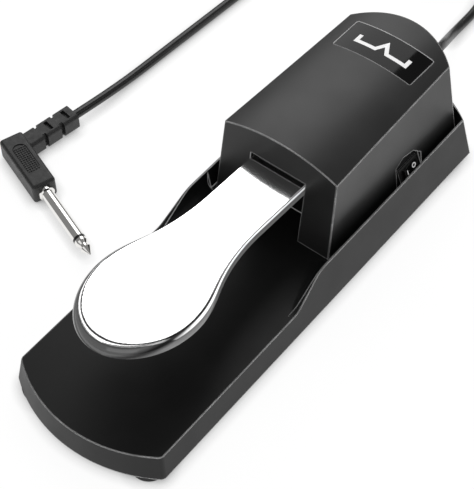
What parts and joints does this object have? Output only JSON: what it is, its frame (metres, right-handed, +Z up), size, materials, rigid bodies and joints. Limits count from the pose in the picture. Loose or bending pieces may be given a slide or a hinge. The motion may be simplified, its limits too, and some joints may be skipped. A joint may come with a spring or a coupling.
{
  "type": "sustain pedal",
  "caption": "Piano-style sustain pedal: chromed hinged lever on a weighted black base with a housing, side polarity switch, cable and right-angle plug.",
  "frame": {"origin": "on the floor, at the middle of the centre foot's underside, under the middle of the base", "axes": "+Z up, +Y from the toe end towards the cable end, +X to the right of the player facing the pedal"},
  "size_m": [0.1838, 0.4224, 0.0667],
  "materials": {
    "black_plastic": "satin moulded ABS",
    "gloss_black": "polished black",
    "chrome_plate": "mirror chrome",
    "plated_steel": "zinc plated",
    "base_steel": "black powder coat",
    "rubber": "soft black rubber",
    "nylon": "natural nylon",
    "spring_steel": "bright spring wire",
    "felt": "grey felt",
    "board": "green circuit board",
    "switch_black": "moulded black",
    "pvc": "black PVC",
    "wire_red_pvc": "red PVC",
    "wire_black_pvc": "black PVC",
    "wire_white_pvc": "white PVC",
    "plug_metal": "nickel plated brass",
    "plug_ring": "black insulator"
  },
  "bodies": {
    "base": {"base_tray": "black_plastic", "bottom_plate": "base_steel", "bottom_plate_screws": "plated_steel", "cover_screws": "plated_steel", "foot_front_left": "rubber", "foot_front_right": "rubber", "foot_rear_left": "rubber", "foot_rear_right": "rubber", "foot_centre": "rubber", "housing_cover": "black_plastic", "badge_plate": "gloss_black", "pivot_bracket": "plated_steel", "bracket_screws": "plated_steel", "pivot_pin": "plated_steel", "pin_clips": "plated_steel", "return_spring": "spring_steel", "spring_seat": "nylon", "upper_stop_felt": "felt", "lower_stop_rubber": "rubber", "circuit_board": "board", "board_screws": "plated_steel", "micro_switch_body": "switch_black", "rocker_frame": "switch_black", "rocker_terminals": "plated_steel", "cable": "pvc", "cable_grommet": "rubber", "cable_clamp": "switch_black", "clamp_screws": "plated_steel", "wire_red": "wire_red_pvc", "wire_black": "wire_black_pvc", "wire_white": "wire_white_pvc", "plug_shell": "pvc", "plug_sleeve": "plug_metal", "plug_insulator": "plug_ring", "plug_tip": "plug_metal"},
    "pedal": {"pedal_plate": "chrome_plate", "lever_channel": "plated_steel", "lever_studs": "plated_steel", "lever_nuts": "plated_steel", "pivot_bush_left": "nylon", "pivot_bush_right": "nylon", "spring_guide": "nylon"},
    "switch_leaf": {"micro_switch_leaf": "spring_steel"},
    "switch_plunger": {"micro_switch_plunger": "nylon"},
    "rocker": {"rocker_button": "switch_black"}
  },
  "joints": [
    {"name": "pedal_hinge", "type": "hinge", "parent": "base", "child": "pedal", "pos_m": [0, 0.09, 0.035], "axis": [1, 0, 0], "range_deg": [0, 6.5], "stiffness_Nm_per_rad": 6, "springref_deg": -6.88, "deforming": ["return_spring"]},
    {"name": "leaf_hinge", "type": "hinge", "parent": "base", "child": "switch_leaf", "pos_m": [0, 0.075, 0.0366], "axis": [1, 0, 0], "range_deg": [0, 12.9]},
    {"name": "plunger_slide", "type": "slide", "parent": "base", "child": "switch_plunger", "axis": [0, 0, -1], "range_m": [0, 0.0009]},
    {"name": "rocker_hinge", "type": "hinge", "parent": "base", "child": "rocker", "pos_m": [0.03282, 0.0753, 0.02226], "axis": [-0.342, 0, 0.9397], "range_deg": [-16, 0]}
  ],
  "couplings": [
    {"joint": "leaf_hinge", "follows": "pedal_hinge", "ratio": 1.95},
    {"joint": "plunger_slide", "follows": "pedal_hinge", "m_per_rad": 0.007}
  ]
}
